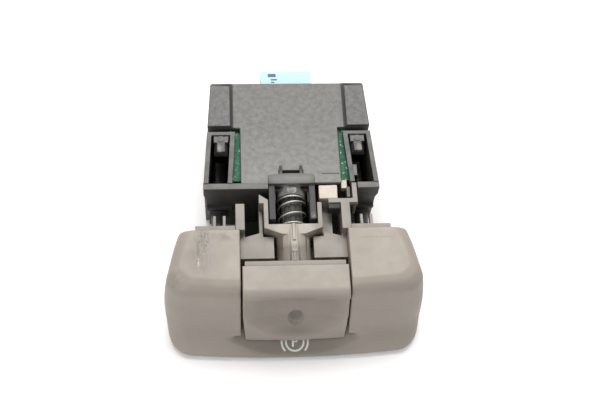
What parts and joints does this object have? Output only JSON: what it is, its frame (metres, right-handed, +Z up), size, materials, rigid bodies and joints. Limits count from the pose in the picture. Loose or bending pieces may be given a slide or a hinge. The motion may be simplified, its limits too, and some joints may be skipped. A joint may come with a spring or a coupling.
{
  "type": "electric parking brake switch",
  "caption": "Pull handle switch with a central push button on a plug-in housing, for an electric parking brake.",
  "frame": {"origin": "middle of the footprint, on the surface that the switch rests on", "axes": "+X to the right of the driver, +Y from the driver into the dashboard, +Z up"},
  "size_m": [0.096, 0.115, 0.03],
  "materials": {
    "black_plastic": "fine grained black moulding",
    "taupe_plastic": "soft touch warm grey paint",
    "green_board": "green solder mask",
    "tinned_contacts": "tinned contact metal",
    "label_paper": "plain pale label",
    "sensor_plastic": "moulded component body",
    "lamp_plastic": "diffused lamp body",
    "black_rubber": "soft black buffer",
    "clear_cream_plastic": "milky light guide",
    "steel": "ground pin",
    "spring_steel": "drawn spring wire"
  },
  "bodies": {
    "housing": {"rear_case": "black_plastic", "front_carrier": "black_plastic", "circuit_board": "green_board", "pin_header": "black_plastic", "connector_pins": "tinned_contacts", "rear_label": "label_paper", "spring_guide": "black_plastic", "guide_post": "black_plastic", "pull_sensor": "sensor_plastic", "press_sensor": "sensor_plastic", "status_led": "lamp_plastic", "control_chip": "sensor_plastic"},
    "handle": {"handle_shell": "taupe_plastic", "handle_chassis": "taupe_plastic", "arm_buffer": "black_rubber", "light_guide": "clear_cream_plastic", "guide_pin_right": "steel", "guide_pin_left": "steel", "pin_clip_right": "spring_steel", "pin_clip_left": "spring_steel", "return_spring_right": "spring_steel", "return_spring_left": "spring_steel"},
    "button": {"button_slider": "taupe_plastic", "plunger_rod": "taupe_plastic", "button_cap": "taupe_plastic", "button_spring": "spring_steel"}
  },
  "joints": [
    {"name": "handle_pull", "type": "slide", "parent": "housing", "child": "handle", "axis": [0, -1, 0], "range_m": [0, 0.007], "stiffness_N_per_m": 700, "springref_m": -0.002, "deforming": ["return_spring_right", "return_spring_left"]},
    {"name": "button_press", "type": "slide", "parent": "handle", "child": "button", "axis": [0, 1, 0], "range_m": [0, 0.0015], "stiffness_N_per_m": 900, "springref_m": -0.002, "deforming": ["button_spring"]}
  ]
}
